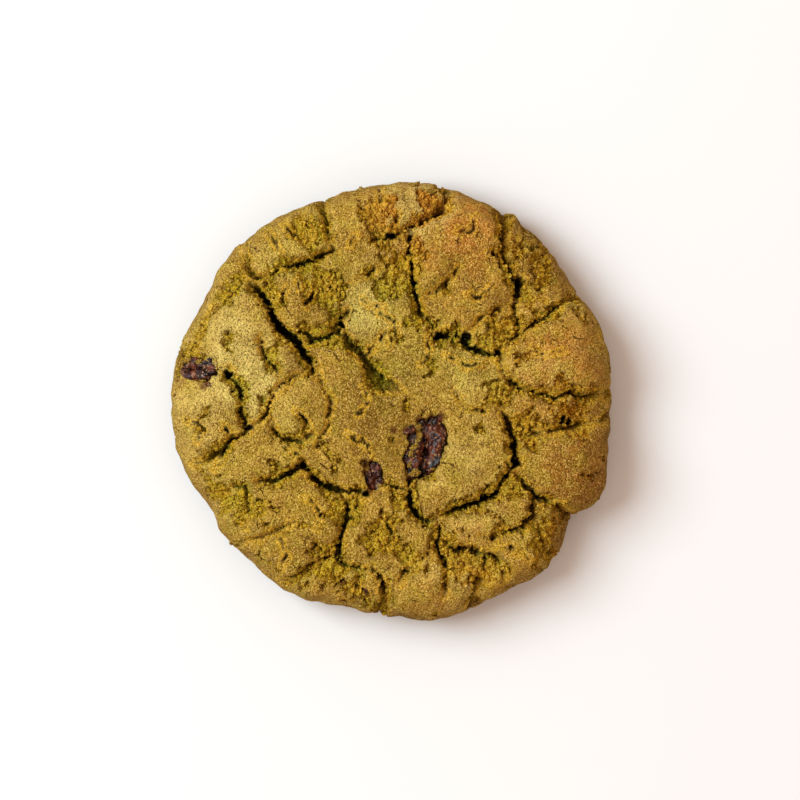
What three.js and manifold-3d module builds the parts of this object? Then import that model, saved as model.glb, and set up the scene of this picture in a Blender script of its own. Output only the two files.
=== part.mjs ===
// A thick, soft-baked matcha cookie with dried fruit in it, lying on its flat base.
// Its crust has torn into plates as the dough spread and rose: the plates are puffed up,
// the tears between them are deep and jagged, and the middle has sunk a little.
// Millimetres, +Z up. The origin is the middle of the base.
import * as THREE from "three";
import { ConvexHull } from "three/addons/math/ConvexHull.js";
import { mergeVertices } from "three/addons/utils/BufferGeometryUtils.js";
import Module from "manifold-3d";

// ---- Driving dimensions

const DIAMETER = 85.2; // width at the waist, the widest level, before the plates puff up
const WAIST = 6.5; // height of the waist
const CRUST = 16.5; // height of the crust, before its plates puff up
const SHOULDER = 9.4; // width of the band where the crust rounds over into the side
const TUCK = 3; // how far the base sits inside the waist
const PUFF = 0.8; // how much a plate's middle stands over its torn edge
const PUFF_REACH = 0.7; // how quickly a plate rises to that from a tear
const BULGE = 0.7; // how much a wide plate rises further towards its middle
const BULGE_REACH = 2.4; // how quickly it does that
const BANK = 5; // how far from a tear its higher and lower bank reach
const STEP_WIDTH = 0.4; // over which the crust changes from the one bank to the other
const ZIGZAG = 0.5; // how far a tear strays to either side of its route
const SIDE_TEARS = 0.2; // depth that a tear keeps where it runs down the side
const LUMPS = 0.26; // height of the plates' unevenness, a few millimetres across
const CRUMBS = 0.12; // height of the crust's roughness, a millimetre or two across
const FOOT = 3.5; // height over the base at which the side has its full relief
const FRUIT_GAP = 0.3; // clearance between a piece of fruit and its pocket

// Bulges (+) and dents (-) of the outline: direction in degrees, half-width in degrees, millimetres.
const LOBES = [
  [14, 11, 0.6], [34, 8, -1], [57, 2.5, 1], [80, 8, 0.5], [108, 17, -0.8], [140, 8, 0.4],
  [153, 9, -1], [180, 22, 0.7], [210, 7, -1.2], [228, 7, -0.8], [257, 8, -1.5], [271, 4, -0.8],
  [286, 12, 1], [313, 9, 1.9], [327, 3.5, -1.4], [337, 8, 2.1],
];

// Broad rises (+) and hollows (-) of the crust, a plate or a hole each: x, y, reach, millimetres.
const SWELLS = [
  [32, 10, 8, 1.1], [33, -13, 8, 1.2], [13.4, 30, 8, 1], [0, 38, 6, 0.4], [-22, 31, 5, 1.1],
  [-19.6, 20, 4.6, 1.3], [-30, 8, 5, 0.6], [-38, -4, 7, 0.8], [-20, -4.6, 4, 0.7], [-22, 9, 2.6, 0.8],
  [-20, -24, 7, 0.9], [-4.6, -3.6, 6, 0.9], [14, -12, 6, 0.9], [16, -24.4, 3.6, 0.7], [21, -22.4, 3.6, 0.7],
  [23, -33, 5, 0.7], [4, -36, 6, 0.6], [-4, 17, 10, -2.4], [-13, 3, 6, -0.9], [37.6, -2, 3.6, -2.2],
  [33.5, -26, 3.6, -1.7], [29, 23, 4.5, -1.3], [23, 16, 4, -1], [-34, -19, 5, -0.8],
  [8, -6.4, 4, -2.3], [5, -12.8, 4, -2.3], [-3.8, -14.8, 2.8, -1.6], [-38.4, 6.4, 3.6, -1.2],
];

// The tears, as the crust shows them from above: width and depth, how much the bank on the left stands
// over the one on the right, and the corners of the route, in millimetres. A route that starts or ends
// outside the outline runs down the side.
const TEARS = [
  // round the sunken middle
  [2, 4.4, 0, [-28.6, 23.4], [-25.6, 19.6], [-23.4, 16.2], [-20.6, 13.8], [-18.8, 11.8], [-15.6, 4.8]],
  [1.2, 2.8, 0, [-20, 13.8], [-17.2, 13.8], [-15.4, 12.2], [-12.6, 13.2], [-10.2, 13.6]],
  [2.4, 2.2, -1.2, [-11.4, 14.4], [-8.4, 10.8], [-5, 7], [-3, 4.6], [1.6, 2.2]],
  [1.1, 3, 0.9, [-11, 13.8], [-10.4, 16.6], [-9, 18.4]],
  [1.2, 3.6, 0.9, [4.2, 34], [2.6, 30.2], [3.2, 25.8], [4, 22.2], [5.4, 19.6], [6.6, 16]],
  [1.2, 3.2, 0.8, [6.6, 16], [8.8, 12.8], [13.4, 13], [15.6, 10.4], [21.8, 7.8]],
  [0.6, 1.2, 0, [5.8, 20.8], [9.4, 22.6], [12, 24.2], [13.4, 26.4]],
  [0.6, 1.4, 0.5, [-8.2, 23.2], [-5.4, 24.4], [-3, 26.8]],
  [0.5, 1.2, 0, [-5.4, 9.2], [-4.4, 10.8], [-1.4, 13.6]],
  [0.5, 1.2, 0, [12, 1.6], [13.6, -1.4], [15, -2.2], [18.2, -2.2]],
  // the upper left and the top
  [1, 2.4, 0.7, [-28.6, 30.2], [-28, 24.8], [-32.2, 22], [-35, 18.4], [-37.6, 12.8], [-38.6, 10]],
  [0.8, 3, 1.4, [-28.4, 24.6], [-25.6, 24], [-19.2, 27.2], [-15.2, 28.8], [-11, 29.8]],
  [0.9, 2.2, -0.8, [-14.6, 45], [-14.2, 37.8], [-13.2, 33.2], [-11.2, 30]],
  [1.1, 3, 0.4, [-4.4, 32], [0.8, 32.4], [3.8, 34.6], [7.8, 37], [10.2, 39.4], [9.6, 46]],
  // the right
  [1.9, 5, -1.2, [23.4, 41], [21.8, 34], [21.2, 29], [23.4, 26.4], [25.6, 23.4], [24.4, 19.4]],
  [0.7, 1.6, 0, [24.4, 19.4], [24.8, 16], [23.4, 12]],
  [0.5, 1, -0.7, [21.4, 19.2], [17.8, 16.6], [14.6, 12.6]],
  [0.8, 1.8, 0.5, [23.6, 32.4], [27.4, 30.4], [34, 29.4]],
  [0.8, 2, -0.9, [21.8, 7.8], [23.6, 11.8], [29.4, 16.6], [36.2, 20.2], [41, 22]],
  [0.9, 2.4, 1.1, [21.8, 7.8], [23, 4.2], [27, 1.8], [32.4, 0.2], [35.6, 2.4], [38, 1], [46, 1.6]],
  [0.6, 1.5, 1.1, [42.6, -1.8], [39.4, -4.6], [36.4, -6], [30.4, -6], [24.4, -6.8]],
  [1.1, 2, 0, [42.2, 8], [43, 4.2], [43.6, 1]],
  // the left
  [1, 2.8, 0.7, [-33.6, 6.4], [-31.4, 3.6], [-30.4, -1.4], [-28.6, -5.8]],
  [1, 2.4, 0, [-28.6, -5.6], [-32.6, -9.2], [-34.4, -10.8], [-39, -12]],
  [0.7, 1.8, 0.4, [-28.6, -5.4], [-25, -3], [-24, -0.8], [-22, 3], [-18.4, 5.6]],
  [0.7, 1.8, 0.4, [-24.6, -4.4], [-22.6, -7.4], [-19, -7.8], [-15.8, -6]],
  [0.8, 2, 0.8, [-25.8, 13], [-25.4, 10], [-24.2, 7.2], [-22.4, 4]],
  [0.5, 1.2, 0, [-15.4, 6.6], [-14.6, 3.6], [-11.6, -0.2], [-12.6, -4.8], [-15.6, -8.8]],
  // the lower left
  [1.2, 3.4, 0, [-27, -15.6], [-20, -14.8], [-18, -12.4], [-17, -15], [-10.6, -17], [-5, -18.4]],
  [0.7, 1.8, 0, [-34.4, -18.8], [-29.2, -17], [-28.2, -21.4], [-29, -25]],
  [0.6, 1.4, 0.4, [-28, -27.4], [-24.2, -25.6], [-19.2, -24.2]],
  [0.9, 2.4, 0.5, [-21.6, -35.2], [-18.6, -35.2], [-15.4, -31.8], [-12, -30.2]],
  [1, 2.6, 0, [-10.6, -17], [-8, -22.8], [-11.2, -28.4], [-11, -32.4], [-4, -33.4]],
  [1.3, 3, 0, [-3.8, -32.8], [-2, -36], [-2.4, -40], [-2.8, -46]],
  // the lower right
  [1, 3.4, 0, [3.2, -14.6], [3.4, -19.8], [5, -22.8], [8.6, -24]],
  [0.7, 1.8, 0, [-2, -16], [3.4, -18]],
  [1.4, 4, 1.4, [8.6, -24], [12.4, -21.4], [20.4, -18.2], [24.4, -12.4], [23.2, -7.8], [21.8, -2.2]],
  [1, 2.8, 0, [9.4, -24], [9.8, -26], [8.8, -29.2], [10.2, -34], [10, -38]],
  [0.7, 1.6, 0, [8.6, -29.4], [4, -31.8], [1.8, -36]],
  [1, 2.6, 0.5, [10, -27.4], [11.8, -29], [14.6, -28.8], [18, -31], [17.6, -33.6]],
  [1, 2.8, 0.7, [17.6, -26.8], [19.6, -27.6], [24.4, -25.6], [27.2, -23.4], [27.6, -17]],
  [1.2, 3.2, 0.8, [24, -13.8], [27.4, -16.8], [29.6, -19.8], [34.8, -22.4], [40, -24.4]],
  [0.9, 2, -0.7, [27.8, -21.6], [29.4, -27.8], [31.8, -31], [37, -36]],
  [0.9, 2.2, 0, [16.2, -35], [16.2, -37.8], [15.4, -44]],
  [0.7, 1.8, 0, [18.4, -29.6], [21.4, -32.2], [20.8, -35.4]],
];

// Dried fruit that shows in the crust: centre, size, turn in the plan, tilt of its far end, and depth of
// the crease along it as a share of its radius.
const FRUIT = [
  { name: "dried_fruit_middle", at: [6.5, -9.4, 14.4], size: [13.8, 8, 6], turn: 72, tilt: 0, fold: 0.75 },
  { name: "dried_fruit_rim", at: [-38.7, 6.1, 14.1], size: [9.6, 4.4, 4.4], turn: -8, tilt: -40, fold: 0.5 },
  { name: "dried_fruit_small", at: [-3.8, -14.7, 14.8], size: [6.4, 4, 4.2], turn: 96, tilt: 0, fold: 0.3 },
];
const FRUIT_CREASE = 0.26; // half-width of that crease, as a share of its radius
const FRUIT_WRINKLE = 0.09; // depth of the wrinkles across it
const FRUIT_DETAIL = 4; // times each face of the icosahedron under it is split

// Mesh sizes: the crust is one sheet of triangles, finer along the tears.
const TEAR_STEP = 1.15; // between points along a tear
const LIP = 0.2; // between a tear's opening and the points on its lips
const SPACING = 1.62; // between the points of a plate
const CLEARANCE = 0.62; // least distance between a tear's points
const BASE_POINTS = 108; // round the edge of the base

const DOUGH = new THREE.MeshStandardMaterial({ color: 0x9c7a30, roughness: 0.95, metalness: 0 });
const DRIED_FRUIT = new THREE.MeshStandardMaterial({ color: 0x2e1718, roughness: 0.45, metalness: 0 });

// ---- The base form, as a sheet that lies over the top and down the side

const RIM = DIAMETER / 2;
const TOP_RADIUS = RIM - SHOULDER; // the crust is level out to here
const ROUND_RISE = CRUST - WAIST;
const SIDE_TOP = TOP_RADIUS + quarterEllipse(SHOULDER, ROUND_RISE); // sheet radius at the waist
const SHEET_RADIUS = SIDE_TOP + quarterEllipse(TUCK, WAIST); // sheet radius at the base's edge

function quarterEllipse(a, b) {
  return (Math.PI / 2) * Math.sqrt((a * a + b * b) / 2);
}

function bell(x) {
  return Math.exp(-x * x);
}

// Unevenness from -1 to 1 with about six units between its tops: four waves that cross.
function waves(x, y) {
  const first = Math.sin(1.31 * x + 0.62 * y) * Math.sin(0.37 * x - 1.12 * y + 2.1);
  const second = Math.sin(1.47 * y - 0.55 * x + 1.7) * Math.sin(0.93 * x + 0.41 * y + 4.2);
  return first + second;
}

// How far the outline stands out of, or in from, a circle in one direction.
function outlineShift(angle) {
  const degrees = THREE.MathUtils.radToDeg(angle);
  let shift = 0;
  for (const [at, halfWidth, height] of LOBES) {
    const away = THREE.MathUtils.euclideanModulo(degrees - at + 180, 360) - 180;
    shift += height * bell(away / halfWidth);
  }
  return shift;
}

// The share of the outline's shift that a point at a distance from the middle takes.
function shiftShare(distance) {
  return THREE.MathUtils.smoothstep(distance, TOP_RADIUS - 6, RIM);
}

// The point of the flat sheet that is seen at (x, y) from above. Past the outline it is on the side.
function unroll([x, y]) {
  const angle = Math.atan2(y, x);
  const distance = Math.hypot(x, y);
  const seen = distance - outlineShift(angle) * shiftShare(distance);
  let reach = seen;
  if (seen > RIM) {
    reach = SIDE_TOP + (seen - RIM);
  } else if (seen > TOP_RADIUS) {
    const turn = Math.asin((seen - TOP_RADIUS) / SHOULDER);
    reach = TOP_RADIUS + ((SIDE_TOP - TOP_RADIUS) * turn) / (Math.PI / 2);
  }
  return new THREE.Vector2(reach * Math.cos(angle), reach * Math.sin(angle));
}

// The smooth surface under a point of the flat sheet, and its outward normal.
function baseForm(sheet) {
  const angle = sheet.angle();
  const reach = sheet.length();
  let radius = reach;
  let height = CRUST;
  let out = 0; // radial part of the normal
  let up = 1;
  if (reach > SIDE_TOP) {
    const turn = (Math.min((reach - SIDE_TOP) / (SHEET_RADIUS - SIDE_TOP), 1) * Math.PI) / 2;
    radius = RIM - TUCK * (1 - Math.cos(turn));
    height = WAIST * (1 - Math.sin(turn));
    out = WAIST * Math.cos(turn);
    up = -TUCK * Math.sin(turn);
  } else if (reach > TOP_RADIUS) {
    const turn = (((reach - TOP_RADIUS) / (SIDE_TOP - TOP_RADIUS)) * Math.PI) / 2;
    radius = TOP_RADIUS + SHOULDER * Math.sin(turn);
    height = WAIST + ROUND_RISE * Math.cos(turn);
    out = ROUND_RISE * Math.sin(turn);
    up = SHOULDER * Math.cos(turn);
  }
  radius += outlineShift(angle) * shiftShare(radius);
  const normal = new THREE.Vector3(out * Math.cos(angle), out * Math.sin(angle), up).normalize();
  return { point: new THREE.Vector3(radius * Math.cos(angle), radius * Math.sin(angle), height), normal };
}

// ---- The tears, on the flat sheet

// A repeatable stand-in for chance: a number from -1 to 1 for each step of each tear.
function stray(step, tear) {
  return Math.sin(step * 12.9898 + tear * 78.233);
}

// A tear's route as short jagged steps, each point with the tear's half-width and depth there, and with
// how far the route had got before it strayed.
function jagged([wide, deep, rise, ...route], tear) {
  const corners = route.map(unroll);
  const line = new THREE.CurvePath();
  for (let i = 1; i < corners.length; i++) line.add(new THREE.LineCurve(corners[i - 1], corners[i]));
  const steps = Math.max(2, Math.round(line.getLength() / TEAR_STEP));
  const points = [];
  for (let i = 0; i <= steps; i++) {
    const along = i / steps;
    const closing = Math.pow(4 * along * (1 - along), 0.4); // a tear closes at its ends
    const tangent = line.getTangentAt(Math.min(Math.max(along, 0.01), 0.99));
    const across = new THREE.Vector2(-tangent.y, tangent.x);
    const middle = line.getPointAt(along);
    const at = middle.clone().addScaledVector(across, ZIGZAG * stray(i, tear));
    const varied = 1 + 0.4 * stray(i + 7, tear); // wide and narrow by turns
    const half = (wide / 2) * (0.2 + 0.6 * closing) * varied;
    points.push({ at, middle, across, half, deep: deep * closing, lift: (rise / 2) * closing });
  }
  return points;
}

const tears = TEARS.map(jagged);

// The depth of the tears at a point of the sheet, and the distance from it to the nearest one.
function torn(sheet) {
  let depth = 0;
  let nearest = Infinity;
  const along = new THREE.Vector2();
  const offset = new THREE.Vector2();
  for (const tear of tears) {
    for (let i = 1; i < tear.length; i++) {
      const [start, end] = [tear[i - 1], tear[i]];
      along.subVectors(end.at, start.at);
      offset.subVectors(sheet, start.at);
      const t = THREE.MathUtils.clamp(offset.dot(along) / along.lengthSq(), 0, 1);
      const away = offset.addScaledVector(along, -t).length();
      const half = THREE.MathUtils.lerp(start.half, end.half, t);
      const deep = THREE.MathUtils.lerp(start.deep, end.deep, t);
      depth = Math.max(depth, deep * Math.max(0, 1 - away / (half + LIP)));
      nearest = Math.min(nearest, away + 1.5 * Math.max(0, 1.5 - deep)); // a closed end hardly counts
    }
  }
  return { depth, nearest };
}

// How much the plates stand higher or lower beside the tears, at a point of the sheet.
function banked(sheet) {
  let shift = 0;
  for (const tear of tears) {
    let closest = tear[0];
    for (const step of tear) {
      if (sheet.distanceToSquared(step.middle) < sheet.distanceToSquared(closest.middle)) closest = step;
    }
    const away = new THREE.Vector2().subVectors(sheet, closest.middle);
    shift += closest.lift * bell(away.length() / BANK) * Math.tanh(away.dot(closest.across) / STEP_WIDTH);
  }
  return shift;
}

const swells = SWELLS.map(([x, y, reach, rise]) => ({ centre: unroll([x, y]), reach, rise }));

// How far the crust stands out of its base form, at a point of the sheet that lies at a height.
function relief(sheet, height) {
  const { depth, nearest } = torn(sheet);
  const sideways = THREE.MathUtils.smoothstep(sheet.length(), TOP_RADIUS + SHOULDER / 2, SIDE_TOP);
  const open = THREE.MathUtils.lerp(1, SIDE_TEARS, sideways);
  let rise = PUFF * (1 - open * Math.exp(-nearest / PUFF_REACH)) + open * (banked(sheet) - depth);
  rise += open * BULGE * (1 - Math.exp(-nearest / BULGE_REACH));
  for (const swell of swells) rise += swell.rise * bell(sheet.distanceTo(swell.centre) / swell.reach);
  rise += LUMPS * waves(sheet.x / 1.7, sheet.y / 1.7) + CRUMBS * waves(sheet.y * 1.9, sheet.x * 1.9);
  return rise * THREE.MathUtils.smoothstep(height, 0.3, FOOT); // the base itself is flat
}

// ---- The cookie's mesh

// Points of the sheet: the base's edge, the tears' beds and lips, then the plates between them.
function sheetPoints() {
  const points = [];
  const cells = new Map();
  const cellOf = (v) => Math.floor(v / SPACING);
  function place(at, clearance) {
    const [column, row] = [cellOf(at.x), cellOf(at.y)];
    for (let c = column - 1; c <= column + 1; c++)
      for (let r = row - 1; r <= row + 1; r++)
        for (const other of cells.get(`${c},${r}`) ?? []) if (other.distanceTo(at) < clearance) return;
    points.push(at);
    const key = `${column},${row}`;
    cells.set(key, [...(cells.get(key) ?? []), at]);
  }
  for (let i = 0; i < BASE_POINTS; i++) {
    const angle = (i / BASE_POINTS) * 2 * Math.PI;
    place(new THREE.Vector2(Math.cos(angle), Math.sin(angle)).multiplyScalar(SHEET_RADIUS), 0);
  }
  const inside = (at) => at.length() < SHEET_RADIUS - SPACING * 0.8;
  for (const tear of tears) for (const { at } of tear) if (inside(at)) place(at.clone(), CLEARANCE);
  for (const tear of tears)
    for (const { at, across, half } of tear)
      for (const side of [-1, 1]) {
        const lip = at.clone().addScaledVector(across, side * (half + LIP));
        if (inside(lip)) place(lip, CLEARANCE * 0.8);
      }
  const rowHeight = SPACING * Math.sqrt(0.75);
  const rows = Math.ceil(SHEET_RADIUS / rowHeight);
  for (let row = -rows; row <= rows; row++)
    for (let column = -rows; column <= rows; column++) {
      const shift = 0.18 * SPACING;
      const at = new THREE.Vector2(
        (column + (row % 2) / 2) * SPACING + shift * stray(column, row),
        row * rowHeight + shift * stray(row, column + 0.5),
      );
      if (inside(at)) place(at, SPACING * 0.62);
    }
  return points;
}

// Delaunay triangles of plane points: lifted onto a bowl, they are the faces on the underside of the hull.
function triangulate(points) {
  const index = new Map();
  points.forEach((p, i) => index.set(new THREE.Vector3(p.x, p.y, p.lengthSq() / SHEET_RADIUS), i));
  const triangles = [];
  for (const face of new ConvexHull().setFromPoints([...index.keys()]).faces) {
    if (face.normal.z >= 0) continue;
    const corners = [0, 1, 2].map((i) => index.get(face.getEdge(i).head().point));
    triangles.push(corners[0], corners[2], corners[1]);
  }
  return triangles;
}

function cookieGeometry() {
  const sheet = sheetPoints();
  const positions = sheet.flatMap((at) => {
    const { point, normal } = baseForm(at);
    return point.addScaledVector(normal, relief(at, point.z)).toArray();
  });
  const faces = triangulate(sheet);
  positions.push(0, 0, 0); // the flat base is a fan round its middle
  for (let i = 0; i < BASE_POINTS; i++) faces.push(sheet.length, (i + 1) % BASE_POINTS, i);
  const geometry = new THREE.BufferGeometry();
  geometry.setAttribute("position", new THREE.Float32BufferAttribute(positions, 3));
  geometry.setIndex(faces);
  return geometry;
}

// ---- Dried fruit: a shrivelled oval with a deep crease along it

function fruitGeometry({ at, size, turn, tilt, fold }, swollen = 0) {
  const ball = new THREE.IcosahedronGeometry(1, FRUIT_DETAIL);
  ball.deleteAttribute("normal");
  ball.deleteAttribute("uv");
  const geometry = mergeVertices(ball, 1e-4);
  const corners = geometry.getAttribute("position");
  const way = new THREE.Vector3();
  for (let i = 0; i < corners.count; i++) {
    way.fromBufferAttribute(corners, i).normalize();
    const winding = 0.1 + 0.25 * way.x + 0.12 * Math.sin(3 * way.x); // the crease slants and bends a little
    const crease = fold * bell((way.y - winding) / FRUIT_CREASE) * Math.max(0, way.z);
    const wrinkle = FRUIT_WRINKLE * (Math.sin(7 * way.x + 4 * way.y + at[0]) + waves(4 * way.y, 4 * way.z));
    const reach = 1 - crease + wrinkle;
    corners.setXYZ(
      i,
      (way.x * reach * size[0]) / 2 + way.x * swollen,
      (way.y * reach * size[1]) / 2 + way.y * swollen,
      (way.z * reach * size[2]) / 2 + way.z * swollen,
    );
  }
  const placing = new THREE.Euler(0, THREE.MathUtils.degToRad(tilt), THREE.MathUtils.degToRad(turn), "ZYX");
  geometry.applyMatrix4(new THREE.Matrix4().makeRotationFromEuler(placing));
  geometry.translate(...at);
  return geometry;
}

// ---- Cutting the pockets

const wasm = await Module();
wasm.setup();

function toSolid(geometry) {
  return new wasm.Manifold(
    new wasm.Mesh({
      numProp: 3,
      vertProperties: new Float32Array(geometry.getAttribute("position").array),
      triVerts: new Uint32Array(geometry.getIndex().array),
    }),
  );
}

function toGeometry(solid) {
  const { vertProperties, triVerts } = solid.getMesh();
  const geometry = new THREE.BufferGeometry();
  geometry.setAttribute("position", new THREE.BufferAttribute(vertProperties, 3));
  geometry.setIndex(new THREE.BufferAttribute(triVerts, 1));
  geometry.computeVertexNormals();
  return geometry;
}

// ---- The parts

const cookie = new THREE.Group();
let dough = toSolid(cookieGeometry());
for (const piece of FRUIT) {
  dough = dough.subtract(toSolid(fruitGeometry({ ...piece, fold: 0 }, FRUIT_GAP)));
  const mesh = new THREE.Mesh(toGeometry(toSolid(fruitGeometry(piece))), DRIED_FRUIT);
  mesh.name = piece.name;
  cookie.add(mesh);
}
const body = new THREE.Mesh(toGeometry(dough), DOUGH);
body.name = "cookie";
cookie.add(body);

export default cookie;
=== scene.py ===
import math

import bmesh
import bpy
import numpy as np
from mathutils import Matrix, Vector, noise
from mathutils.bvhtree import BVHTree


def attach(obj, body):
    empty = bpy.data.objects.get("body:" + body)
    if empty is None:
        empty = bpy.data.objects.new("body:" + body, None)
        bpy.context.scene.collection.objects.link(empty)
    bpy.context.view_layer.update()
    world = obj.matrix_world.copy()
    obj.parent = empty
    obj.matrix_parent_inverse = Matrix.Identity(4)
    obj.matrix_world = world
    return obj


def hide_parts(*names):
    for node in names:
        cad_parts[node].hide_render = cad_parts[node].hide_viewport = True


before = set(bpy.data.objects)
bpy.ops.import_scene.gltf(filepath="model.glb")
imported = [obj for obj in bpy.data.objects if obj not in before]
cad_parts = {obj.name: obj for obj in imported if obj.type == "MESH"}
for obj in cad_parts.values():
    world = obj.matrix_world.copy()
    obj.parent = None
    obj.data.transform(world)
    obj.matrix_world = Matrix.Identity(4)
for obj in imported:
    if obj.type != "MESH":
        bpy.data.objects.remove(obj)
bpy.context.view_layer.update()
MM = 0.001


# ---- The dried fruit
# Three shrivelled pieces of dried fruit that broke through the crust, one in the middle, one at the
# rim and a small one. Each is a dark, sticky, wrinkled skin with a deep crease along it.

# Where each lies and its size in millimetres, its turn and the tilt of its far end in degrees, and the
# depth of the crease along it as a share of its radius.
FRUIT = [
    ("dried_fruit_middle", (6.5, -9.4, 14.4), (13.8, 8, 6), 72, 0, 0.75),
    ("dried_fruit_rim", (-38.7, 6.1, 14.1), (9.6, 4.4, 4.4), -8, -40, 0.5),
    ("dried_fruit_small", (-3.8, -14.7, 14.8), (6.4, 4, 4.2), 96, 0, 0.3),
]
CREASE = 0.26  # half-width of that crease, as a share of the radius
WRINKLE = 0.09  # depth of the wrinkles, as a share of the radius


def waves(x, y):
    """Unevenness, mostly from -1 to 1, with a few units from top to top: four waves that cross."""
    first = np.sin(1.31 * x + 0.62 * y) * np.sin(0.37 * x - 1.12 * y + 2.1)
    second = np.sin(1.47 * y - 0.55 * x + 1.7) * np.sin(0.93 * x + 0.41 * y + 4.2)
    return first + second


def tone(red, green, blue):
    """A colour as a printed swatch gives it, 0 to 255, in the light values that a shader mixes."""
    swatch = [channel / 255 for channel in (red, green, blue)]
    return (*[c / 12.92 if c < 0.04 else ((c + 0.055) / 1.055) ** 2.4 for c in swatch], 1)


def node(tree, kind, **values):
    """A node of a material, with its properties and its unlinked inputs set by name."""
    made = tree.nodes.new(kind)
    for key, value in values.items():
        if key in made.inputs:
            made.inputs[key].default_value = value
        else:
            setattr(made, key, value)
    return made


def blend_colour(tree, fac, under, over, kind="MIX"):
    """The colour over laid on the colour under, by fac. Each is a socket or a plain value."""
    mixer = node(tree, "ShaderNodeMix", data_type="RGBA", blend_type=kind)
    for socket, value in ((mixer.inputs[0], fac), (mixer.inputs[6], under), (mixer.inputs[7], over)):
        if isinstance(value, bpy.types.NodeSocket):
            tree.links.new(value, socket)
        else:
            socket.default_value = value
    return mixer.outputs[2]


def stretch(tree, value, low, high, to_low=0.0, to_high=1.0):
    """A value's run from low to high, spread over another run and held at its ends."""
    ranger = node(tree, "ShaderNodeMapRange")
    tree.links.new(value, ranger.inputs[0])
    for socket, number in zip(ranger.inputs[1:5], (low, high, to_low, to_high)):
        socket.default_value = number
    return ranger.outputs[0]


def grain_group():
    """Grains as a node group: their size in, and out their shade (a chance tone for each grain), their height
    and the painted shade in the gaps between.
    """
    group = bpy.data.node_groups.new("grain", "ShaderNodeTree")
    for name, way, kind in (
        ("Place", "INPUT", "NodeSocketVector"), ("Size", "INPUT", "NodeSocketFloat"),
        ("Shade", "OUTPUT", "NodeSocketFloat"), ("Height", "OUTPUT", "NodeSocketFloat"),
        ("Gap shade", "OUTPUT", "NodeSocketFloat"),
    ):
        group.interface.new_socket(name, in_out=way, socket_type=kind)
    given, wanted = node(group, "NodeGroupInput"), node(group, "NodeGroupOutput")
    per_metre = node(group, "ShaderNodeMath", operation="DIVIDE")
    per_metre.inputs[0].default_value = 1
    group.links.new(given.outputs["Size"], per_metre.inputs[1])
    grains = node(group, "ShaderNodeTexVoronoi")
    clumps = node(group, "ShaderNodeTexNoise", Detail=3, Roughness=0.7)
    for texture in (grains, clumps):
        group.links.new(given.outputs["Place"], texture.inputs["Vector"])
    group.links.new(per_metre.outputs[0], grains.inputs["Scale"])
    halved = node(group, "ShaderNodeMath", operation="MULTIPLY")
    group.links.new(per_metre.outputs[0], halved.inputs[0])
    halved.inputs[1].default_value = 0.45
    group.links.new(halved.outputs[0], clumps.inputs["Scale"])
    parted = node(group, "ShaderNodeSeparateColor")
    group.links.new(grains.outputs["Color"], parted.inputs[0])
    group.links.new(parted.outputs[0], wanted.inputs["Shade"])
    gap_shade = stretch(group, clumps.outputs[0], 0.4, 0.3)
    group.links.new(gap_shade, wanted.inputs["Gap shade"])
    rounded = stretch(group, grains.outputs["Distance"], 0, 0.8, 1, 0)
    height = node(group, "ShaderNodeMath", operation="MULTIPLY_ADD")
    group.links.new(clumps.outputs[0], height.inputs[0])
    height.inputs[1].default_value = 3
    group.links.new(rounded, height.inputs[2])
    group.links.new(height.outputs[0], wanted.inputs["Height"])
    return group


grain = grain_group()


def grains_of(size):
    """The grain group placed in the material at hand."""
    placed = node(tree, "ShaderNodeGroup", node_tree=grain)
    placed.inputs["Size"].default_value = size * MM
    tree.links.new(place, placed.inputs["Place"])
    return placed.outputs


def speckle(size, detail=2.0, roughness=0.6):
    """Chance spots, size millimetres from one to the next."""
    texture = node(tree, "ShaderNodeTexNoise", Scale=1 / (size * MM), Detail=detail, Roughness=roughness)
    tree.links.new(place, texture.inputs["Vector"])
    return texture.outputs[0]


fruit_skin = bpy.data.materials.new("dried_fruit_skin")
fruit_skin.use_nodes = True
tree = fruit_skin.node_tree
shader = tree.nodes["Principled BSDF"]
place = node(tree, "ShaderNodeTexCoord").outputs["Object"]
toned = blend_colour(tree, stretch(tree, speckle(1.6), 0.42, 0.66), tone(15, 6, 8), tone(104, 50, 24))
toned = blend_colour(tree, stretch(tree, speckle(2.4), 0.52, 0.66), toned, tone(40, 14, 20))
# Light specks on the skin: partly sugar bloom, partly painted glints.
sugar_and_painted_glints = stretch(tree, grains_of(0.4)["Shade"], 0.84, 1, 0, 0.6)
toned = blend_colour(tree, sugar_and_painted_glints, toned, tone(184, 138, 92))
tree.links.new(toned, shader.inputs["Base Color"])
shader.inputs["Roughness"].default_value = 0.24
shader.inputs["Specular IOR Level"].default_value = 0.42
puckered = node(tree, "ShaderNodeBump", Strength=1, Distance=0.3 * MM)
tree.links.new(speckle(0.8, 3, 0.7), puckered.inputs["Height"])
tree.links.new(puckered.outputs[0], shader.inputs["Normal"])

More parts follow.
